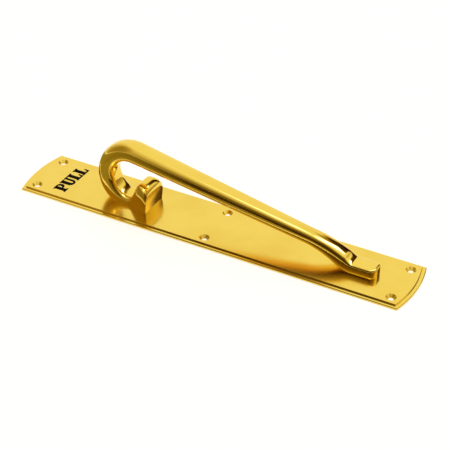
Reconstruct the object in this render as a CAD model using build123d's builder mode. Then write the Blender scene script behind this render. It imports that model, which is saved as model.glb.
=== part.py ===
from build123d import *
from math import cos, radians, sin, sqrt, tan
import os

# A door pull: a brass bar handle, curled round at one end, screwed from behind to a long flat backplate.
# Millimetres. The origin is at the middle of the plate's back, +X runs along the plate to the handle's tail,
# and +Z points away from the door.

# Backplate
PLATE_LENGTH = 382.0
PLATE_WIDTH = 65.0
PLATE_THICKNESS = 3.0
END_BOW = 4.7
LEDGE_WIDTH = 3.4
LEDGE_THICKNESS = 1.7
FIELD_EDGE_BEVEL = 0.35
LEDGE_EDGE_BEVEL = 0.5

# Countersunk holes for the screws that go into the door
DOOR_HOLE_SPACING = 176.5
DOOR_HOLE_ROW = 42.8
DOOR_HOLE_DIAMETER = 4.7
DOOR_SINK_DIAMETER = 9.2
SINK_ANGLE = 90.0

# Tail foot of the handle
TAIL_END_X = 155.6
TAIL_FLAT_LENGTH = 21.4
TAIL_WIDTH = 17.0
TAIL_HEIGHT = 9.2
TAIL_CORNER_RADIUS = 5.0
TAIL_EDGE_RADIUS = 2.2
TAIL_SPINE_HEIGHT = 4.6
TAIL_UNDERCUT = 2.0
TAIL_LAP = 6.0
TAIL_SEAM = 0.05

# Neck and grip
NECK_ANGLE = 31.0
NECK_RISE_RADIUS = 20.0
NECK_EASE_RADIUS = 95.0
GRIP_ANGLE = 10.6
GRIP_LENGTH = 174.9
SHOULDER_WIDTH = 17.0
SHOULDER_OUTER = 7.2
SHOULDER_INNER = 7.4
NECK_WIDTH = 14.4
NECK_OUTER = 7.0
NECK_INNER = 6.1

# Curl
CURL_WIDTH = 20.6
CURL_OUTER = 9.1
CURL_INNER = 9.3
CURL_SIDE_WIDTH = 21.6
CURL_SIDE_OUTER = 7.2
CURL_SIDE_INNER = 8.8
CURL_SPINE_DROP = 1.15

# Hook foot and its end block
HOOK_FOOT_LENGTH = 20.0
HOOK_ROOT_WIDTH = 21.4
HOOK_END_WIDTH = 30.6
HOOK_ROOT_OUTER = 8.5
HOOK_ROOT_INNER = 8.3
BLOCK_CREST_HEIGHT = 24.8
BLOCK_EDGE_HEIGHT = 19.0
BLOCK_TOP_LENGTH = 7.0
BLOCK_EDGE_SOFTENING = 1.2
BLOCK_SPLAY = 1.8
BLOCK_LEAN = 5.0

# Screws through the plate's back into the feet
SCREW_DIAMETER = 5.0
SCREW_HEAD_DIAMETER = 9.2
SCREW_LENGTH = 9.0
SCREW_SLOT_WIDTH = 1.2
SCREW_SLOT_DEPTH = 1.0
SCREW_CLEARANCE = 0.3
THREAD_CLEARANCE = 0.05
THREAD_SPARE_DEPTH = 1.0
TAIL_SCREW_INSET = 14.0
HOOK_SCREW_INSET = 8.0

# Squareness of the bar's sections, on the outer and the inner side of the curl
TAIL_SQUARENESS = 0.8
SHOULDER_SQUARENESS = 0.6
GRIP_OUTER_SQUARENESS = 0.1
GRIP_INNER_SQUARENESS = 0.4
CURL_SIDE_OUTER_SQUARENESS = 0.18
HOOK_ROOT_OUTER_SQUARENESS = 0.24
HOOK_INNER_SQUARENESS = 0.45
BLOCK_SQUARENESS = 0.86
ROUND_HANDLE = 0.448
SECTION_FLAT = 1.0

# Number of short steps the bar is built in, along each stretch of its spine
NECK_STEPS = 8
GRIP_STEPS = 6
CURL_STEPS = 28
BLOCK_RISE_STEPS = 6
BLOCK_ROLL_STEPS = 6


def plate_outline(inset):
    """The plate's outline, drawn in by an inset: straight sides and bowed ends."""
    half_width = PLATE_WIDTH / 2 - inset
    half_length = PLATE_LENGTH / 2 - inset
    end_radius = (PLATE_WIDTH**2 / 4 + END_BOW**2) / (2 * END_BOW) - inset
    corner_x = half_length - end_radius + sqrt(end_radius**2 - half_width**2)
    with BuildSketch() as outline:
        with BuildLine():
            near = Line((-corner_x, -half_width), (corner_x, -half_width))
            right = ThreePointArc(near @ 1, (half_length, 0), (corner_x, half_width))
            far = Line(right @ 1, (-corner_x, half_width))
            ThreePointArc(far @ 1, (-half_length, 0), near @ 0)
        make_face()
    return outline.sketch


def bar_section(place, heading, size):
    """One section of the bar, square to its spine: four quarters joined by short flats. Outer and inner are its
    depths away from and towards the middle of the curl. A squareness of 0 is an ellipse, and 1 is nearly a
    rectangle. The inner corners stand out further than the outer ones by the splay."""
    half_width, outer, inner, outer_square, inner_square, splay = size
    flat = SECTION_FLAT / 2
    with BuildSketch(Plane(origin=place, x_dir=(0, -1, 0), z_dir=heading)) as section:
        with BuildLine():
            for side, depth, square, corner in (
                (1, outer, outer_square, half_width),
                (-1, outer, outer_square, half_width),
                (-1, -inner, inner_square, half_width + splay),
                (1, -inner, inner_square, half_width + splay),
            ):
                reach = 1 - ROUND_HANDLE * (1 - square)
                edge = flat if depth > 0 else -flat
                Bezier(
                    (side * half_width, edge),
                    (side * corner, edge + (depth - edge) * reach),
                    (side * (flat + (corner - flat) * reach), depth),
                    (side * flat, depth),
                )
            for side in (1, -1):
                Line((side * half_width, -flat), (side * half_width, flat))
            for depth in (outer, -inner):
                Line((-flat, depth), (flat, depth))
        make_face()
    return section.sketch


def between(first, last, share):
    """The section size at a share of the way from one section to another."""
    return tuple(a + (b - a) * share for a, b in zip(first, last))


# The spine runs from inside the tail foot up the neck and the grip, round the curl and along the hook foot.
tail_flat_x = TAIL_END_X - TAIL_FLAT_LENGTH
tail_spine_z = PLATE_THICKNESS + TAIL_SPINE_HEIGHT
hook_spine_z = PLATE_THICKNESS - CURL_SPINE_DROP
with BuildLine(Plane.XZ) as spine:
    tail_lap = Line((tail_flat_x + TAIL_LAP, tail_spine_z), (tail_flat_x, tail_spine_z))
    neck_rise = JernArc(tail_lap @ 1, tail_lap % 1, NECK_RISE_RADIUS, -NECK_ANGLE)
    neck_ease = JernArc(neck_rise @ 1, neck_rise % 1, NECK_EASE_RADIUS, NECK_ANGLE - GRIP_ANGLE)
    grip = Line(neck_ease @ 1, neck_ease @ 1 + GRIP_LENGTH * (neck_ease % 1))
    curl_radius = ((grip @ 1).Z - hook_spine_z) / (1 + cos(radians(GRIP_ANGLE)))
    curl = JernArc(grip @ 1, grip % 1, curl_radius, 180 + GRIP_ANGLE)
    hook_flat = Line(curl @ 1, curl @ 1 + HOOK_FOOT_LENGTH * (curl % 1))
hook_end_x = (hook_flat @ 1).X

# Section sizes at the named places: half width, outer and inner depth, outer and inner squareness, splay.
tail_size = (
    TAIL_WIDTH / 2 - TAIL_SEAM,
    TAIL_HEIGHT - TAIL_SPINE_HEIGHT - TAIL_SEAM,
    TAIL_SPINE_HEIGHT + TAIL_UNDERCUT,
    TAIL_SQUARENESS,
    TAIL_SQUARENESS,
    0,
)
shoulder_size = (
    SHOULDER_WIDTH / 2,
    SHOULDER_OUTER,
    SHOULDER_INNER,
    SHOULDER_SQUARENESS,
    SHOULDER_SQUARENESS,
    0,
)
neck_size = (NECK_WIDTH / 2, NECK_OUTER, NECK_INNER, GRIP_OUTER_SQUARENESS, GRIP_INNER_SQUARENESS, 0)
curl_top_size = (CURL_WIDTH / 2, CURL_OUTER, CURL_INNER, GRIP_OUTER_SQUARENESS, GRIP_INNER_SQUARENESS, 0)
curl_side_size = (
    CURL_SIDE_WIDTH / 2,
    CURL_SIDE_OUTER,
    CURL_SIDE_INNER,
    CURL_SIDE_OUTER_SQUARENESS,
    HOOK_INNER_SQUARENESS,
    0,
)
hook_root_size = (
    HOOK_ROOT_WIDTH / 2,
    HOOK_ROOT_OUTER,
    HOOK_ROOT_INNER,
    HOOK_ROOT_OUTER_SQUARENESS,
    HOOK_INNER_SQUARENESS,
    0,
)
block_size = (HOOK_END_WIDTH / 2, HOOK_ROOT_OUTER, 0, BLOCK_SQUARENESS, BLOCK_SQUARENESS, BLOCK_SPLAY)

# Tail and neck
sections = []
for share in (0.0, 1.0):
    sections.append(bar_section(tail_lap @ share, tail_lap % share, tail_size))
for curve, first, last in ((neck_rise, tail_size, shoulder_size), (neck_ease, shoulder_size, neck_size)):
    for step in range(NECK_STEPS):
        share = (step + 1) / NECK_STEPS
        sections.append(bar_section(curve @ share, curve % share, between(first, last, share)))

# Straight grip
for step in range(GRIP_STEPS):
    share = (step + 1) / GRIP_STEPS
    sections.append(bar_section(grip @ share, grip % share, between(neck_size, curl_top_size, share)))

# Curl: the first half thins towards its side, the second half thickens again to the hook's root.
for step in range(CURL_STEPS):
    share = (step + 1) / CURL_STEPS
    if share < 1 / 2:
        size = between(curl_top_size, curl_side_size, 2 * share)
    else:
        size = between(curl_side_size, hook_root_size, 2 * share - 1)
    sections.append(bar_section(curl @ share, curl % share, size))

# End block: its top rises in a soft ramp to the crest, rolls over, and ends in a face with softened edges.
root_top = HOOK_ROOT_INNER - CURL_SPINE_DROP
rise_length = HOOK_FOOT_LENGTH - BLOCK_TOP_LENGTH
block_steps = []
for step in range(BLOCK_RISE_STEPS):
    share = (step + 1) / BLOCK_RISE_STEPS
    ramp = (1 - cos(radians(180 * share))) / 2
    block_steps.append((share * rise_length, root_top + (BLOCK_CREST_HEIGHT - root_top) * ramp, 0))
for step in range(BLOCK_ROLL_STEPS):
    turn = radians(90 * (step + 1) / BLOCK_ROLL_STEPS)
    top = BLOCK_EDGE_HEIGHT + (BLOCK_CREST_HEIGHT - BLOCK_EDGE_HEIGHT) * cos(turn)
    softening = BLOCK_EDGE_SOFTENING * (1 - cos(turn)) ** 2
    block_steps.append((rise_length + sin(turn) * BLOCK_TOP_LENGTH, top, softening))
for along, top, softening in block_steps:
    share = along / HOOK_FOOT_LENGTH
    half_width, outer, _, outer_square, inner_square, splay = between(hook_root_size, block_size, share)
    size = (half_width - softening, outer, top + CURL_SPINE_DROP, outer_square, inner_square, splay)
    leaning = Vector(1, 0, 0).rotate(Axis.Y, BLOCK_LEAN * share)
    sections.append(bar_section(hook_flat @ share, leaning, size))

screw_places = [(TAIL_END_X - TAIL_SCREW_INSET, 0), (hook_end_x - HOOK_SCREW_INSET, 0)]
thread_depth = SCREW_LENGTH - PLATE_THICKNESS + THREAD_SPARE_DEPTH

# The handle is one casting: the bar, ground flat where it stands on the plate, and the tongue of the tail foot.
plate_top = Plane.XY.offset(PLATE_THICKNESS)
with BuildPart() as pull_handle:
    loft(sections, ruled=True)
    split(bisect_by=plate_top, keep=Keep.TOP)
    with BuildSketch(plate_top) as tongue_outline:
        with Locations((TAIL_END_X, 0)):
            Rectangle(TAIL_FLAT_LENGTH, TAIL_WIDTH, align=(Align.MAX, Align.CENTER))
        fillet(tongue_outline.vertices().group_by(Axis.X)[-1], TAIL_CORNER_RADIUS)
    tongue = extrude(amount=TAIL_HEIGHT, mode=Mode.PRIVATE)
    tongue_rim = tongue.edges().group_by(Axis.Z)[-1].sort_by(Axis.X)[1:]
    add(tongue.fillet(TAIL_EDGE_RADIUS, tongue_rim))
    with Locations(*[Plane(origin=(x, y, PLATE_THICKNESS), z_dir=(0, 0, -1)) for x, y in screw_places]):
        Hole(SCREW_DIAMETER / 2 + THREAD_CLEARANCE, depth=thread_depth)

with BuildPart() as backplate:
    extrude(plate_outline(0), amount=LEDGE_THICKNESS)
    chamfer(backplate.edges().group_by(Axis.Z)[-1], LEDGE_EDGE_BEVEL)
    extrude(plate_outline(LEDGE_WIDTH), amount=PLATE_THICKNESS)
    chamfer(backplate.edges().group_by(Axis.Z)[-1], FIELD_EDGE_BEVEL)
    with Locations((0, 0, PLATE_THICKNESS)):
        with GridLocations(DOOR_HOLE_SPACING, DOOR_HOLE_ROW, 3, 2):
            CounterSinkHole(DOOR_HOLE_DIAMETER / 2, DOOR_SINK_DIAMETER / 2, counter_sink_angle=SINK_ANGLE)
    with Locations(*[Plane(origin=(x, y, 0), z_dir=(0, 0, -1)) for x, y in screw_places]):
        CounterSinkHole(
            SCREW_DIAMETER / 2 + SCREW_CLEARANCE,
            SCREW_HEAD_DIAMETER / 2 + SCREW_CLEARANCE,
            counter_sink_angle=SINK_ANGLE,
        )

# Two slotted countersunk screws, flush with the plate's back and screwed up into the feet.
head_height = (SCREW_HEAD_DIAMETER - SCREW_DIAMETER) / 2 / tan(radians(SINK_ANGLE / 2))
with BuildPart() as rear_fixing_screws:
    with Locations(*[(x, y, 0) for x, y in screw_places]):
        Cylinder(SCREW_DIAMETER / 2, SCREW_LENGTH, align=(Align.CENTER, Align.CENTER, Align.MIN))
        Cone(
            SCREW_HEAD_DIAMETER / 2,
            SCREW_DIAMETER / 2,
            head_height,
            align=(Align.CENTER, Align.CENTER, Align.MIN),
        )
        Box(
            SCREW_HEAD_DIAMETER,
            SCREW_SLOT_WIDTH,
            SCREW_SLOT_DEPTH,
            align=(Align.CENTER, Align.CENTER, Align.MIN),
            mode=Mode.SUBTRACT,
        )

os.makedirs("parts", exist_ok=True)
backplate.part.label = "backplate"
export_step(backplate.part, "parts/backplate.step")
pull_handle.part.label = "pull_handle"
export_step(pull_handle.part, "parts/pull_handle.step")
rear_fixing_screws.part.label = "rear_fixing_screws"
export_step(rear_fixing_screws.part, "parts/rear_fixing_screws.step")
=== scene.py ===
# %% [markdown]
# # A polished brass door pull
# The part is a long brass backplate with a cast bar handle on it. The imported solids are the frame: they
# give the sizes, and nothing here moves them. Blender adds the mirror finish, a smoother skin for the
# handle and the filled letters on the plate.

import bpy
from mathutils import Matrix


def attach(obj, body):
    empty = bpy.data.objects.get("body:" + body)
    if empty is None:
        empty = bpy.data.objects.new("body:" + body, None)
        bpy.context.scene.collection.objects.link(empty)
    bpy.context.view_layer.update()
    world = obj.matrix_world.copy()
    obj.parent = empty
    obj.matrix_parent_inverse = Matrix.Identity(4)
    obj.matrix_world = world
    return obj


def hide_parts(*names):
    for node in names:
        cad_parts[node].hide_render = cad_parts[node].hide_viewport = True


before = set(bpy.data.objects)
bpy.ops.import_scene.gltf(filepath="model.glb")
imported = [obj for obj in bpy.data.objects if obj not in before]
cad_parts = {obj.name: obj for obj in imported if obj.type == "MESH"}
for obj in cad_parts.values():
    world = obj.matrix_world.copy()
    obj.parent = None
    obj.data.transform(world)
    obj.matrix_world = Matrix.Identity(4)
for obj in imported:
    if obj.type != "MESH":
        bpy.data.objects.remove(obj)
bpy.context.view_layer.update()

from math import cos, pi, radians, sin, sqrt

import bmesh
import bpy
from mathutils import Vector

# %% [markdown]
# ## Camera
# The picture is taken from above the near right corner with a long lens, so the plate's sides stay
# almost parallel. A camera could be placed by eye, but here its place and lens were solved from the
# plate's corners and screw holes, so the outlines land where they should.

# %% Camera
CAMERA_PLACE = Vector((0.5007, -0.9002, 0.7230))
CAMERA_AIM = Vector((-0.3930, 0.7193, -0.5729))
LENS = 113.76
SENSOR_WIDTH = 36.0

camera_data = bpy.data.cameras.new("camera")
camera_data.lens = LENS
camera_data.sensor_width = SENSOR_WIDTH
camera = bpy.data.objects.new("camera", camera_data)
camera.location = CAMERA_PLACE
camera.rotation_euler = CAMERA_AIM.to_track_quat("-Z", "Y").to_euler()
bpy.context.collection.objects.link(camera)
bpy.context.scene.camera = camera
bpy.context.scene.view_settings.view_transform = "Standard"
print("camera lens", LENS)

# %% [markdown]
# ## Node helpers
# A node tree is a graph of small steps. A few short helpers keep the cells below readable: one adds a
# node and sets its values, one adds a Math node whose inputs may be numbers or other nodes' outputs,
# one makes a soft step, and one starts a material with an empty tree.


# %% Node helpers
def add_node(tree, kind, links=None, values=None, **settings):
    """A new node, with its plain settings, its input values and the links that feed it."""
    node = tree.nodes.new(kind)
    for name, value in settings.items():
        setattr(node, name, value)
    for socket, value in (values or {}).items():
        node.inputs[socket].default_value = value
    for socket, source in (links or {}).items():
        tree.links.new(source, node.inputs[socket])
    return node


def add_math(tree, operation, *inputs):
    """A Math node's output. Each input is a number or another node's output."""
    node = tree.nodes.new("ShaderNodeMath")
    node.operation = operation
    for socket, value in zip(node.inputs, inputs):
        if isinstance(value, (int, float)):
            socket.default_value = value
        else:
            tree.links.new(value, socket)
    return node.outputs[0]


def smooth_step(tree, value, low, high):
    """0 below low, 1 above high, and a soft step between."""
    step = add_node(
        tree,
        "ShaderNodeMapRange",
        links={"Value": value},
        values={"From Min": low, "From Max": high},
        interpolation_type="SMOOTHSTEP",
    )
    return step.outputs["Result"]


def empty_material(name):
    """A new material with an empty node tree."""
    material = bpy.data.materials.new(name)
    material.use_nodes = True
    material.node_tree.nodes.clear()
    return material


# %% [markdown]
# ## Studio
# Polished metal has almost no look of its own: it shows the room. The room here is white overhead, dim
# behind the camera and to both sides, and has a narrow dark column at the back. Those dark places give
# the handle its streaks. They could be built from cards, but the World's own direction is simpler and
# never stands in the way of another view. Each dark place is a soft round patch: its azimuth and
# elevation, the angles from its middle where it is full and where it ends, and how much light it takes
# away. The camera itself sees plain white. Dark corners of a room are warm, so green and blue fall off
# faster than red there.


# %% The room's dark places
ROOM_SHADES = (
    (-50, 0, 42, 66, 0.74),
    (-160, 8, 25, 62, 0.42),
    (-142, 28, 10, 48, 0.40),
    (25, -5, 18, 45, 0.60),
    (68, 8, 5, 13, 0.90),
    (72, 22, 6, 14, 0.95),
    (74, 36, 6, 15, 0.94),
    (75, 54, 4, 14, 0.65),
)

world = bpy.data.worlds.new("studio")
world.use_nodes = True
bpy.context.scene.world = world
room_tree = world.node_tree
room_tree.nodes.clear()
place = add_node(room_tree, "ShaderNodeTexCoord").outputs["Generated"]
direction = add_node(room_tree, "ShaderNodeVectorMath", {0: place}, operation="NORMALIZE").outputs[0]
path = add_node(room_tree, "ShaderNodeLightPath")


def towards(azimuth, elevation):
    """The direction with an azimuth from +X towards +Y and an elevation, in degrees."""
    flat = cos(radians(elevation))
    return (flat * cos(radians(azimuth)), flat * sin(radians(azimuth)), sin(radians(elevation)))


def facing(aim):
    """How nearly the room's direction points the same way as the aim: 1 is dead on, 0 is square to it."""
    node = add_node(room_tree, "ShaderNodeVectorMath", {0: direction}, {1: aim}, operation="DOT_PRODUCT")
    return node.outputs["Value"]


unseen = add_math(room_tree, "SUBTRACT", 1.0, path.outputs["Is Camera Ray"])
light = 1.0
for azimuth, elevation, full, end, shade in ROOM_SHADES:
    nearness = facing(towards(azimuth, elevation))
    patch = smooth_step(room_tree, nearness, cos(radians(end)), cos(radians(full)))
    taken = add_math(room_tree, "MULTIPLY", patch, add_math(room_tree, "MULTIPLY", unseen, shade))
    light = add_math(room_tree, "MULTIPLY", light, add_math(room_tree, "SUBTRACT", 1.0, taken))
print("dark places in the room", len(ROOM_SHADES))

# %% [markdown]
# ## Strip lamp
# One long strip lamp runs overhead, from the near side to the far side: the hollow of the neck draws it
# out into a white streak. A lamp object would do it too, but in the World it can fade out at its edges
# and be kept for reflections, so the white sheet stays even. Its light is cool, because only a bluish
# white looks white in brass. Each pair of values below is where a soft step starts and where it ends.

# %% Strip lamp, and the World's output
STRIP_SIDE = (-0.920, 0.361, 0.148)
STRIP_RUN = (0.349, 0.931, -0.100)
STRIP_HALF_WIDTH = (0.070, 0.120)
STRIP_NEAR_END = (-0.62, -0.25)
STRIP_FAR_END = (0.58, 0.68)
STRIP_OVERHEAD = (0.3, 0.5)
STRIP_LIGHT = (2.4, 3.0, 9.0)
ROOM_WARMTH = (1.0, 1.3, 2.4)
ROOM_LEVEL = 1.05
UP = (0.0, 0.0, 1.0)

off_strip = smooth_step(room_tree, add_math(room_tree, "ABSOLUTE", facing(STRIP_SIDE)), *STRIP_HALF_WIDTH)
past_end = smooth_step(room_tree, facing(STRIP_RUN), *STRIP_FAR_END)
strip = add_math(room_tree, "SUBTRACT", 1.0, off_strip)
for mask in (
    smooth_step(room_tree, facing(STRIP_RUN), *STRIP_NEAR_END),
    add_math(room_tree, "SUBTRACT", 1.0, past_end),
    smooth_step(room_tree, facing(UP), *STRIP_OVERHEAD),
    path.outputs["Is Glossy Ray"],
):
    strip = add_math(room_tree, "MULTIPLY", strip, mask)
room = add_node(room_tree, "ShaderNodeCombineColor")
for channel, fall, strip_light in zip(room.inputs, ROOM_WARMTH, STRIP_LIGHT):
    warmed = add_math(room_tree, "POWER", light, fall)
    room_tree.links.new(add_math(room_tree, "MULTIPLY_ADD", strip, strip_light, warmed), channel)
glow = add_node(room_tree, "ShaderNodeBackground", {"Color": room.outputs[0]}, {"Strength": ROOM_LEVEL})
add_node(room_tree, "ShaderNodeOutputWorld", {"Surface": glow.outputs[0]})
print("World", len(room_tree.nodes), "nodes")

# %% [markdown]
# ## Mesh helpers
# New pieces start as a bmesh. Three helpers do what several cells need: one extrudes a row of edges,
# one turns a bmesh into a mesh, and one shows a mesh as an object at the origin, with its place in its
# mesh.


# %% Mesh helpers
def extrude_row(shape, edges):
    """Extrudes a row of edges: the new edges and the new points, which still lie on the old ones."""
    grown = bmesh.ops.extrude_edge_only(shape, edges=edges)["geom"]
    new_edges = [item for item in grown if isinstance(item, bmesh.types.BMEdge)]
    new_points = [item for item in grown if isinstance(item, bmesh.types.BMVert)]
    return new_edges, new_points


def mesh_from(shape, name):
    """A new mesh with the shape of a bmesh, which is freed."""
    mesh = bpy.data.meshes.new(name)
    shape.to_mesh(mesh)
    shape.free()
    return mesh


def show(mesh, name, material):
    """A new object at the origin that shows a mesh in one material."""
    mesh.materials.append(material)
    thing = bpy.data.objects.new(name, mesh)
    bpy.context.collection.objects.link(thing)
    return thing


# %% [markdown]
# ## Cards round the object
# A photographer puts cards close to a shiny object. A brown card stands in front of this one, and olive
# mats lie in front of it and to its left, so that its near side shows dark edges and not the white
# sheet. A card with a hard edge shows as a hard line, so each one fades out: every point of the card
# keeps how much it covers in a layer, and the material mixes it with a see-through shader. The cards
# are seen by reflections only. They hide nothing and throw no shadow. Each is given by a line of points
# (x, y and how much the point covers) and by rows (a shift of the whole line and the row's share of the
# cover).

# %% The cards' places
FLAG_BROWN = (0.10, 0.055, 0.012, 1.0)
MAT_OLIVE = (0.46, 0.39, 0.12, 1.0)
MAT_LIFT = 0.0005
NEAR_FLAG = (
    (-0.170, -0.066, 0.0),
    (-0.110, -0.064, 0.35),
    (-0.040, -0.062, 1.0),
    (0.160, -0.062, 1.0),
    (0.230, -0.062, 0.0),
)
UPRIGHT = (((0, 0, 0), 1.0), ((0, 0, 0.024), 1.0), ((0, 0, 0.050), 0.70), ((0, 0, 0.085), 0.0))
NEAR_MAT = ((-1.100, -0.040, 0.0), (-0.600, -0.040, 1.0), (0.220, -0.040, 1.0), (0.350, -0.040, 0.0))
TOWARDS_CAMERA = (((0, 0, MAT_LIFT), 1.0), ((0, -0.600, MAT_LIFT), 1.0), ((0, -1.400, MAT_LIFT), 0.0))
LEFT_MAT = ((-0.200, 0.160, 0.0), (-0.200, 0.060, 1.0), (-0.200, -0.040, 1.0))
TOWARDS_LEFT = (((0, 0, MAT_LIFT), 1.0), ((-0.300, 0, MAT_LIFT), 1.0), ((-0.900, 0, MAT_LIFT), 0.0))
print("card rows", len(UPRIGHT), "mat rows", len(TOWARDS_CAMERA), len(TOWARDS_LEFT))


# %% Make the cards
def card_shape(line, rows):
    """A card's bmesh: it grows from a line of points, row by row, with each point's cover in a layer."""
    shape = bmesh.new()
    cover = shape.verts.layers.float.new("cover")
    along = shape.verts.layers.int.new("along")
    points = [shape.verts.new() for _ in line]
    edges = [shape.edges.new(pair) for pair in zip(points, points[1:])]
    for number, point in enumerate(points):
        point[along] = number
    for row, (shift, share) in enumerate(rows):
        if row > 0:
            edges, points = extrude_row(shape, edges)
        for point in points:
            x, y, own_cover = line[point[along]]
            point.co = Vector((x, y, 0.0)) + Vector(shift)
            point[cover] = own_cover * share
    return shape


def card_material(name, colour):
    """A dull board that fades to nothing where its cover does."""
    material = empty_material(name)
    tree = material.node_tree
    hidden = add_node(tree, "ShaderNodeAttribute", attribute_name="cover").outputs["Fac"]
    clear = add_node(tree, "ShaderNodeBsdfTransparent")
    board = add_node(tree, "ShaderNodeBsdfDiffuse", values={"Color": colour})
    faded = add_node(tree, "ShaderNodeMixShader", {0: hidden, 1: clear.outputs[0], 2: board.outputs[0]})
    add_node(tree, "ShaderNodeOutputMaterial", {"Surface": faded.outputs[0]})
    return material


for name, line, rows, colour in (
    ("near_flag", NEAR_FLAG, UPRIGHT, FLAG_BROWN),
    ("near_mat", NEAR_MAT, TOWARDS_CAMERA, MAT_OLIVE),
    ("left_mat", LEFT_MAT, TOWARDS_LEFT, MAT_OLIVE),
):
    card = show(mesh_from(card_shape(line, rows), name), name, card_material(name, colour))
    card.visible_camera = False
    card.visible_diffuse = False
    card.visible_shadow = False
    print(name, len(card.data.polygons), "faces")

# %% [markdown]
# ## Floor
# The plate lies on a white sheet. A plain white floor renders a little grey, so the floor's material
# adds a little light of its own, but only for rays from the camera and for reflections. The rays that
# light the object never see it, and the soft shadow under the plate stays.

# %% Floor
FLOOR_HALF = 3.0
FLOOR_WHITE = (0.82, 0.82, 0.82, 1.0)
FLOOR_LIFT = 0.50

sheet = empty_material("white_sheet")
sheet_tree = sheet.node_tree
rays = add_node(sheet_tree, "ShaderNodeLightPath").outputs
shown = add_math(sheet_tree, "MAXIMUM", rays["Is Camera Ray"], rays["Is Glossy Ray"])
shown = add_math(sheet_tree, "MAXIMUM", shown, rays["Is Transmission Ray"])
lift = add_math(sheet_tree, "MULTIPLY", shown, FLOOR_LIFT)
paper = add_node(sheet_tree, "ShaderNodeBsdfDiffuse", values={"Color": FLOOR_WHITE})
extra = add_node(sheet_tree, "ShaderNodeEmission", {"Strength": lift})
both = add_node(sheet_tree, "ShaderNodeAddShader", {0: paper.outputs[0], 1: extra.outputs[0]})
add_node(sheet_tree, "ShaderNodeOutputMaterial", {"Surface": both.outputs[0]})

floor_shape = bmesh.new()
bmesh.ops.create_grid(floor_shape, x_segments=1, y_segments=1, size=FLOOR_HALF)
floor = show(mesh_from(floor_shape, "floor"), "floor", sheet)
print("floor", FLOOR_HALF * 2, "m wide")

# %% [markdown]
# ## Shared finish: polishing marks
# Brass is polished on a turning mop, which leaves hair-fine lines that run one way and a slight
# waviness. Every finish here has such marks, so they are one node group: it takes a position on the
# surface, stretches it along the direction of polishing, and puts out a roughness, a height for a Bump
# node and a soft tone mask. An image could do this too, but noise has no edges and no repeats.


# %% Polishing marks group
def new_group(name, inputs, outputs):
    """An empty shader node group with its sockets: the group, its input node and its output node."""
    group = bpy.data.node_groups.new(name, "ShaderNodeTree")
    for socket, kind in inputs:
        group.interface.new_socket(socket, in_out="INPUT", socket_type=kind)
    for socket, kind in outputs:
        group.interface.new_socket(socket, in_out="OUTPUT", socket_type=kind)
    return group, group.nodes.new("NodeGroupInput").outputs, group.nodes.new("NodeGroupOutput").inputs


def noise(tree, position, scale, detail):
    """A noise texture's value at a position."""
    texture = add_node(tree, "ShaderNodeTexNoise", {"Vector": position}, {"Scale": scale, "Detail": detail})
    return texture.outputs["Fac"]


HAIRLINES = (2600.0, 3.0)
WAVES = (70.0, 1.0)
CLOUDS = (24.0, 4.0)
HAIRLINE_HEIGHT = 0.03
TONE_STEP = (0.35, 0.75)

polish, given, result = new_group(
    "polishing_marks",
    (
        ("Position", "NodeSocketVector"),
        ("Stretch", "NodeSocketVector"),
        ("Gloss", "NodeSocketFloat"),
        ("Spread", "NodeSocketFloat"),
    ),
    (("Roughness", "NodeSocketFloat"), ("Height", "NodeSocketFloat"), ("Tone", "NodeSocketFloat")),
)
stretched = add_node(
    polish, "ShaderNodeVectorMath", {0: given["Position"], 1: given["Stretch"]}, operation="MULTIPLY"
)
hairlines = noise(polish, stretched.outputs[0], *HAIRLINES)
waves = noise(polish, given["Position"], *WAVES)
clouds = noise(polish, given["Position"], *CLOUDS)
smear = add_math(polish, "MULTIPLY", hairlines, clouds)
rough = add_math(polish, "MULTIPLY_ADD", smear, given["Spread"], given["Gloss"])
polish.links.new(rough, result["Roughness"])
polish.links.new(add_math(polish, "MULTIPLY_ADD", hairlines, HAIRLINE_HEIGHT, waves), result["Height"])
polish.links.new(smooth_step(polish, clouds, *TONE_STEP), result["Tone"])
print("polishing marks", len(polish.nodes), "nodes")

# %% [markdown]
# ## Brass
# Polished brass is a metal with a strong yellow reflection: white light comes back as warm yellow, and
# light that bounces twice between plate and handle comes back as deep gold. So the base colour is the
# colour of one reflection. The tone mask shifts it slightly towards a redder brass in soft clouds, as
# on a hand-polished casting. The plate reads its own Object coordinates, with the lines along its
# length. The handle reads an attribute of its skin, so that its lines follow the bar round the curl.


# %% Brass finishes
BRASS = (0.870, 0.622, 0.100, 1.0)
DEEP_BRASS = (0.830, 0.570, 0.078, 1.0)
LENGTHWISE = (0.02, 1.0, 1.0)
MIX_COLOUR_A = 6
MIX_COLOUR_B = 7
MIX_COLOUR_RESULT = 2


def marked_finish(name, tones, stretch, gloss, spread, relief, metallic=1.0, follows=None):
    """A material of two close tones. Its marks go by Object coordinates, or follow an attribute."""
    material = empty_material(name)
    tree = material.node_tree
    if follows is None:
        position = add_node(tree, "ShaderNodeTexCoord").outputs["Object"]
    else:
        position = add_node(tree, "ShaderNodeAttribute", attribute_name=follows).outputs["Vector"]
    marks = add_node(tree, "ShaderNodeGroup", node_tree=polish)
    tree.links.new(position, marks.inputs["Position"])
    for socket, value in (("Stretch", stretch), ("Gloss", gloss), ("Spread", spread)):
        marks.inputs[socket].default_value = value
    colour = add_node(
        tree,
        "ShaderNodeMix",
        {"Factor": marks.outputs["Tone"]},
        {MIX_COLOUR_A: tones[0], MIX_COLOUR_B: tones[1]},
        data_type="RGBA",
    )
    bump = add_node(
        tree, "ShaderNodeBump", {"Height": marks.outputs["Height"]}, {"Strength": 1.0, "Distance": relief}
    )
    surface = add_node(
        tree,
        "ShaderNodeBsdfPrincipled",
        {
            "Base Color": colour.outputs[MIX_COLOUR_RESULT],
            "Roughness": marks.outputs["Roughness"],
            "Normal": bump.outputs["Normal"],
        },
        {"Metallic": metallic},
    )
    add_node(tree, "ShaderNodeOutputMaterial", {"Surface": surface.outputs[0]})
    return material


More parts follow.
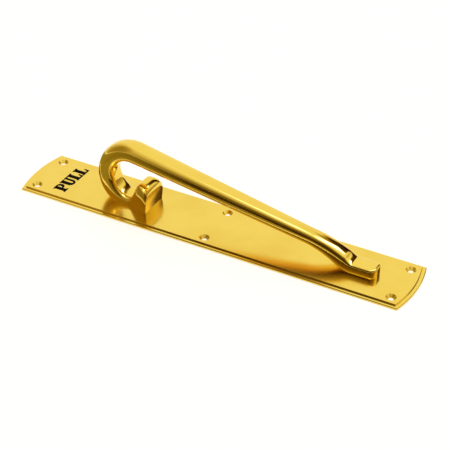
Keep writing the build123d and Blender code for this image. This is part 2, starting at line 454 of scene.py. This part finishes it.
plate_brass = marked_finish(
    "plate_brass_finish", (BRASS, DEEP_BRASS), LENGTHWISE, gloss=0.150, spread=0.12, relief=0.000008
)
handle_brass = marked_finish(
    "handle_brass_finish",
    (BRASS, DEEP_BRASS),
    LENGTHWISE,
    gloss=0.050,
    spread=0.10,
    relief=0.000006,
    follows="bar_run",
)
print("brass finishes", plate_brass.name, handle_brass.name)

# %% [markdown]
# ## Steel and letter filling
# The two screws at the back are turned steel, greyer and rougher than the brass, with the same kind of
# fine marks. The letters are filled with black lacquer, which is dull, a little uneven and not quite
# black where dust has settled in it. Its low specular level is the same all over, so it is set on the
# shader's own socket.

# %% Steel and lacquer
STEEL = (0.56, 0.55, 0.53, 1.0)
DARK_STEEL = (0.36, 0.35, 0.34, 1.0)
LACQUER = (0.005, 0.003, 0.001, 1.0)
DUSTY_LACQUER = (0.014, 0.008, 0.003, 1.0)
CROSSWISE = (0.3, 0.3, 1.0)
LACQUER_SPECULAR = 0.03

screw_steel = marked_finish(
    "screw_steel_finish", (STEEL, DARK_STEEL), CROSSWISE, gloss=0.22, spread=0.30, relief=0.00002
)
letter_lacquer = marked_finish(
    "letter_lacquer",
    (LACQUER, DUSTY_LACQUER),
    CROSSWISE,
    gloss=0.70,
    spread=0.35,
    relief=0.00003,
    metallic=0.0,
)
lacquer_surface = letter_lacquer.node_tree.nodes["Principled BSDF"]
lacquer_surface.inputs["Specular IOR Level"].default_value = LACQUER_SPECULAR
print("other finishes", screw_steel.name, letter_lacquer.name)

# %% [markdown]
# ## The handle's line
# The handle is one casting: a tail foot, a neck, a straight tapering grip, a round curl and a hook foot
# that ends in a block. Its middle line lies in one upright plane, so it can be walked along like a
# path: straight on, turn by an angle on a radius, straight on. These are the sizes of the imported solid,
# in millimetres and degrees. The walk starts at the tail and heads towards -X.


# %% Walk along the handle's line
MM = 0.001
PLATE_TOP = 3.0
TAIL_END_X = 155.6
TAIL_FLAT = 21.4
TAIL_SPINE_Z = 7.6
NECK_TURN = 31.0
GRIP_TURN = 10.6
NECK_RISE_RADIUS = 20.0
NECK_EASE_RADIUS = 95.0
GRIP_LENGTH = 174.9
HOOK_SPINE_DROP = 1.15
HOOK_LENGTH = 20.0
TAIL_HEADING = 180
NECK_HEADING = TAIL_HEADING - NECK_TURN
GRIP_HEADING = TAIL_HEADING - GRIP_TURN
HOOK_HEADING = 0
CURL_TURN = 180 + GRIP_TURN


def straight(start, heading, length, share):
    """A point part of the way along a straight stretch, and its heading in degrees."""
    along = length * share
    return (start[0] + cos(radians(heading)) * along, start[1] + sin(radians(heading)) * along), heading


def bend(start, heading, radius, turn, share):
    """A point part of the way round a bend, and its heading there. A positive turn is to the left."""
    side = 1 if turn > 0 else -1
    first = radians(heading)
    last = radians(heading + turn * share)
    middle = (start[0] - side * radius * sin(first), start[1] + side * radius * cos(first))
    spot = (middle[0] + side * radius * sin(last), middle[1] - side * radius * cos(last))
    return spot, heading + turn * share


tail_start = (TAIL_END_X, TAIL_SPINE_Z)
neck_start, _ = straight(tail_start, TAIL_HEADING, TAIL_FLAT, 1)
ease_start, _ = bend(neck_start, TAIL_HEADING, NECK_RISE_RADIUS, -NECK_TURN, 1)
grip_start, _ = bend(ease_start, NECK_HEADING, NECK_EASE_RADIUS, NECK_TURN - GRIP_TURN, 1)
curl_start, _ = straight(grip_start, GRIP_HEADING, GRIP_LENGTH, 1)
hook_z = PLATE_TOP - HOOK_SPINE_DROP
curl_radius = (curl_start[1] - hook_z) / (1 + cos(radians(GRIP_TURN)))
hook_start, _ = bend(curl_start, GRIP_HEADING, curl_radius, CURL_TURN, 1)
print("curl radius", round(curl_radius, 2), "hook starts at", [round(c, 1) for c in hook_start])

# %% [markdown]
# ## Sections along the line
# At each place the casting has a section: half its width, its depth on the outer and inner side of the
# curl, how square each side is, and how far the inner corners splay out. Between the named places the
# numbers change evenly. The tail's end is rounded in plan and along its rim. Most of the sizes are the
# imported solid's. A few follow the real casting more closely: the tail's corner is rounder, the inner
# sides of the curl and of the hook's root are squarer, and the block's top rolls over sooner and
# further down.

# %% Sections from the tail to the end of the curl
TAIL = (8.5, 4.6, 6.6, 0.80, 0.80, 0.0)
SHOULDER = (8.5, 7.2, 7.4, 0.60, 0.60, 0.0)
NECK = (7.2, 7.0, 6.1, 0.10, 0.40, 0.0)
CURL_TOP = (10.3, 9.1, 9.3, 0.10, 0.40, 0.0)
CURL_SIDE = (10.8, 7.2, 8.8, 0.18, 0.55, 0.0)
HOOK_ROOT = (10.7, 8.5, 8.3, 0.24, 0.80, 0.0)
TAIL_CORNER = 6.5
TAIL_RIM = 2.2
TAIL_ROUNDING = 0.9
TAIL_STEPS = 14
NECK_STEPS = 16
GRIP_STEPS = 20
HALF_CURL_STEPS = 42


def between(first, last, share):
    """The section part of the way from one to another."""
    return tuple(a + (b - a) * share for a, b in zip(first, last))


def rounded(distance, radius):
    """How far a round of that radius draws an edge in, at a distance from the end that it rounds."""
    if distance >= radius:
        return 0.0
    return radius - sqrt(max(radius**2 - (radius - distance) ** 2, 0.0))


stations = []
for step in range(TAIL_STEPS):
    back = TAIL_FLAT * (step / TAIL_STEPS) ** 2
    half, top, *rest = TAIL
    half -= rounded(back, TAIL_CORNER) * TAIL_ROUNDING
    top -= rounded(back, TAIL_RIM) * TAIL_ROUNDING
    stations.append((*straight(tail_start, TAIL_HEADING, back, 1), (half, top, *rest)))
for step in range(NECK_STEPS):
    share = step / NECK_STEPS
    spot = bend(neck_start, TAIL_HEADING, NECK_RISE_RADIUS, -NECK_TURN, share)
    stations.append((*spot, between(TAIL, SHOULDER, share)))
for step in range(NECK_STEPS):
    share = step / NECK_STEPS
    spot = bend(ease_start, NECK_HEADING, NECK_EASE_RADIUS, NECK_TURN - GRIP_TURN, share)
    stations.append((*spot, between(SHOULDER, NECK, share)))
for step in range(GRIP_STEPS):
    share = step / GRIP_STEPS
    spot = straight(grip_start, GRIP_HEADING, GRIP_LENGTH, share)
    stations.append((*spot, between(NECK, CURL_TOP, share)))
for step in range(2 * HALF_CURL_STEPS + 1):
    halves = step / HALF_CURL_STEPS
    spot = bend(curl_start, GRIP_HEADING, curl_radius, CURL_TURN, halves / 2)
    if halves < 1:
        stations.append((*spot, between(CURL_TOP, CURL_SIDE, halves)))
    else:
        stations.append((*spot, between(CURL_SIDE, HOOK_ROOT, halves - 1)))
print("stations up to the hook", len(stations))

# %% [markdown]
# ## The block on the hook
# The hook's foot ends in a block that a finger can pull on. Its top rises from the foot in a soft ramp,
# half a cosine wave long, and rolls over in a quarter of an oval. The sections stay on the hook's
# straight line, where the inner side faces up, so its depth makes the ramp and the roll. On the way
# they flare out and lean forward.

# %% Sections of the block
BLOCK = (15.3, 8.5, 0.0, 0.86, 0.86, 1.8)
BLOCK_CREST = 24.8
BLOCK_EDGE = 16.5
BLOCK_TOP_LENGTH = 10.0
BLOCK_SOFTENING = 1.2
BLOCK_LEAN = 5.0
BLOCK_STEPS = 18

root_top = HOOK_ROOT[2] - HOOK_SPINE_DROP
rise_length = HOOK_LENGTH - BLOCK_TOP_LENGTH
block_tops = []
for step in range(BLOCK_STEPS):
    share = (step + 1) / BLOCK_STEPS
    ramp = (1 - cos(pi * share)) / 2
    block_tops.append((share * rise_length, root_top + (BLOCK_CREST - root_top) * ramp, 0.0))
for step in range(BLOCK_STEPS):
    roll = pi / 2 * (step + 1) / BLOCK_STEPS
    softening = BLOCK_SOFTENING * (1 - cos(roll)) ** 2
    top = BLOCK_EDGE + (BLOCK_CREST - BLOCK_EDGE) * cos(roll)
    block_tops.append((rise_length + BLOCK_TOP_LENGTH * sin(roll), top, softening))
for along, top, softening in block_tops:
    share = along / HOOK_LENGTH
    half, outer, _, outer_square, inner_square, splay = between(HOOK_ROOT, BLOCK, share)
    size = (half - softening, outer, top + HOOK_SPINE_DROP, outer_square, inner_square, splay)
    spot, _ = straight(hook_start, HOOK_HEADING, along, 1)
    stations.append((spot, -BLOCK_LEAN * share, size))
print("handle stations", len(stations))

# %% [markdown]
# ## The handle's skin
# A bar like this could be swept with a curve's bevel, but a bevel can only scale its section along the
# way. So one ring of points is made with create_circle and extruded from station to station, and each
# new ring is laid on its section. Every point keeps its number round the ring in a layer, so it always
# knows its place. A second layer keeps the distance along the bar, and the polishing marks follow it
# round the curl. A quarter of a section is one smooth curve between two short flats, with control
# points that reach further into the corner where the section is squarer.


# %% Points of a section
QUARTER = 14
RING = 4 * (QUARTER + 1)
FLAT = 0.5
ROUND = 0.448


def section_point(number, size):
    """Where a ring's point lies on its section: across the bar, and outwards from the curl."""
    half, outer, inner, outer_square, inner_square, splay = size
    quarter, step = divmod(number, QUARTER + 1)
    t = step / QUARTER if quarter in (0, 2) else 1 - step / QUARTER
    side = 1 if quarter in (0, 3) else -1
    if quarter < 2:
        depth, edge, square, corner = outer, FLAT, outer_square, half
    else:
        depth, edge, square, corner = -inner, -FLAT, inner_square, half + splay
    reach = 1 - ROUND * (1 - square)
    controls = (
        (half, edge),
        (corner, edge + (depth - edge) * reach),
        (FLAT + (corner - FLAT) * reach, depth),
        (FLAT, depth),
    )
    weights = ((1 - t) ** 3, 3 * t * (1 - t) ** 2, 3 * t**2 * (1 - t), t**3)
    across = sum(w * c[0] for w, c in zip(weights, controls))
    outwards = sum(w * c[1] for w, c in zip(weights, controls))
    return side * across, outwards


print("points in a ring", RING)


# %% Extrude the skin from ring to ring
def lay_ring(points, station, along):
    """Moves a ring's points onto a station's section."""
    (x, z), heading, size = station
    out_x = sin(radians(heading))
    out_z = -cos(radians(heading))
    for point in points:
        across, outwards = section_point(point[ring_number], size)
        point.co = Vector((x + out_x * outwards, -across, z + out_z * outwards)) * MM
        turn = 2 * pi * point[ring_number] / RING
        point[bar_run] = Vector((along, size[0] * cos(turn), size[0] * sin(turn))) * MM


def fill_holes(shape):
    """Closes every open end with a face."""
    bmesh.ops.holes_fill(shape, edges=[edge for edge in shape.edges if edge.is_boundary], sides=0)


skin = bmesh.new()
ring_number = skin.verts.layers.int.new("ring_number")
bar_run = skin.verts.layers.float_vector.new("bar_run")
bmesh.ops.create_circle(skin, segments=RING, radius=1.0)
for number, point in enumerate(skin.verts):
    point[ring_number] = number
ring_edges = list(skin.edges)
along = 0.0
lay_ring(skin.verts, stations[0], along)
for before, station in zip(stations, stations[1:]):
    along += sqrt((station[0][0] - before[0][0]) ** 2 + (station[0][1] - before[0][1]) ** 2)
    ring_edges, ring_points = extrude_row(skin, ring_edges)
    lay_ring(ring_points, station, along)
fill_holes(skin)
print("skin", len(skin.verts), "points", len(skin.faces), "faces")

# %% [markdown]
# ## Grinding the feet flat
# Both feet stand flat on the plate. bisect_plane cuts the skin at the plate's top and clears what is
# below, and the two open cuts are filled with a face each. Edges that turn sharply are marked sharp,
# and everything else is shaded smooth, so that the reflections flow.

# %% Cut, fill and shade
SHARP_TURN = radians(38)
CUT_SLACK = 1e-7

bmesh.ops.bisect_plane(
    skin,
    geom=list(skin.verts) + list(skin.edges) + list(skin.faces),
    dist=CUT_SLACK,
    plane_co=(0, 0, PLATE_TOP * MM),
    plane_no=UP,
    clear_inner=True,
)
fill_holes(skin)
bmesh.ops.recalc_face_normals(skin, faces=skin.faces)
for face in skin.faces:
    face.smooth = True
for edge in skin.edges:
    edge.smooth = not (edge.is_manifold and edge.calc_face_angle() > SHARP_TURN)
open_edges = sum(not edge.is_manifold for edge in skin.edges)
handle = show(mesh_from(skin, "polished_handle"), "polished_handle", handle_brass)
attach(handle, "root")
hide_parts("pull_handle")
print("handle faces", len(handle.data.polygons), "open edges", open_edges)

# %% [markdown]
# ## Filled letters
# The plate says which way the door opens. The letters are a plain bold slab letter, drawn from straight
# strokes and half ovals. Each one is a flat filled curve, because a curve fills its own outline and
# cuts out the hole in the P. The word is made a mesh first, and then laid on the plate, reading across
# it.


# %% Letter outlines, with the letter's height as 1
OVAL_STEPS = 18


def oval(centre, wide, high, first, last):
    """Points along part of an oval, between two angles in degrees."""
    turns = [radians(first + (last - first) * step / OVAL_STEPS) for step in range(OVAL_STEPS + 1)]
    return [(centre[0] + wide * cos(turn), centre[1] + high * sin(turn)) for turn in turns]


P_OUTLINE = (
    [(0, 0), (0.51, 0), (0.51, 0.13), (0.40, 0.13), (0.40, 0.38)]
    + oval((0.45, 0.69), 0.34, 0.31, -90, 90)
    + [(0, 1), (0, 0.87), (0.08, 0.87), (0.08, 0.13), (0, 0.13)]
)
P_HOLE = [(0.40, 0.51)] + oval((0.42, 0.69), 0.11, 0.18, -90, 90) + [(0.40, 0.87)]
U_OUTLINE = (
    [(0, 1), (0, 0.87), (0.06, 0.87)]
    + oval((0.43, 0.32), 0.37, 0.34, 180, 360)
    + [(0.80, 0.87), (0.86, 0.87), (0.86, 1), (0.52, 1), (0.52, 0.87), (0.58, 0.87)]
    + oval((0.49, 0.34), 0.09, 0.18, 0, -180)
    + [(0.40, 0.87), (0.46, 0.87), (0.46, 1)]
)
L_OUTLINE = (
    [(0, 0), (0.73, 0), (0.75, 0.40), (0.63, 0.40), (0.57, 0.14), (0.41, 0.14), (0.41, 0.87)]
    + [(0.50, 0.87), (0.50, 1), (0, 1), (0, 0.87), (0.07, 0.87), (0.07, 0.13), (0, 0.13)]
)
LETTERS = (([P_OUTLINE, P_HOLE], 0.79), ([U_OUTLINE], 0.86), ([L_OUTLINE], 0.75), ([L_OUTLINE], 0.75))
print("letters", len(LETTERS))

# %% Make the word and lay it on the plate
LETTER_HEIGHT = 13.0
LETTER_GAP = 0.020
BASELINE_X = -147.0
WORD_START_Y = -20.4
FILL_PROUD = 0.03
FILL_DEPTH = 0.05

word_curve = bpy.data.curves.new("word", "CURVE")
word_curve.dimensions = "2D"
word_curve.fill_mode = "BOTH"
word_curve.extrude = (FILL_PROUD + FILL_DEPTH) / 2 / LETTER_HEIGHT
start = 0.0
for outlines, width in LETTERS:
    for outline in outlines:
        line = word_curve.splines.new("POLY")
        line.points.add(len(outline) - 1)
        for point, (u, v) in zip(line.points, outline):
            point.co = (start + u, v, 0.0, 1.0)
        line.use_cyclic_u = True
    start += width + LETTER_GAP
word_maker = bpy.data.objects.new("word_maker", word_curve)
bpy.context.collection.objects.link(word_maker)
evaluated = word_maker.evaluated_get(bpy.context.evaluated_depsgraph_get())
word_mesh = bpy.data.meshes.new_from_object(evaluated)
bpy.data.objects.remove(word_maker)
middle_z = PLATE_TOP + (FILL_PROUD - FILL_DEPTH) / 2
for vertex in word_mesh.vertices:
    u, v, w = vertex.co * LETTER_HEIGHT
    vertex.co = Vector((BASELINE_X - v, WORD_START_Y + u, middle_z + w)) * MM
word_mesh.materials.clear()
letters = show(word_mesh, "filled_letters", letter_lacquer)
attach(letters, "root")
print("letters", len(word_mesh.polygons), "faces, word", round(start * LETTER_HEIGHT, 1), "mm long")

# %% [markdown]
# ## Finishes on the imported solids
# The plate and the rear screws are right as they are, so they keep their meshes and only get a
# material.

# %% Dress the plate and the screws
for name, finish in (("backplate", plate_brass), ("rear_fixing_screws", screw_steel)):
    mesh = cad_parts[name].data
    mesh.materials.clear()
    mesh.materials.append(finish)
    print(name, "gets", finish.name)
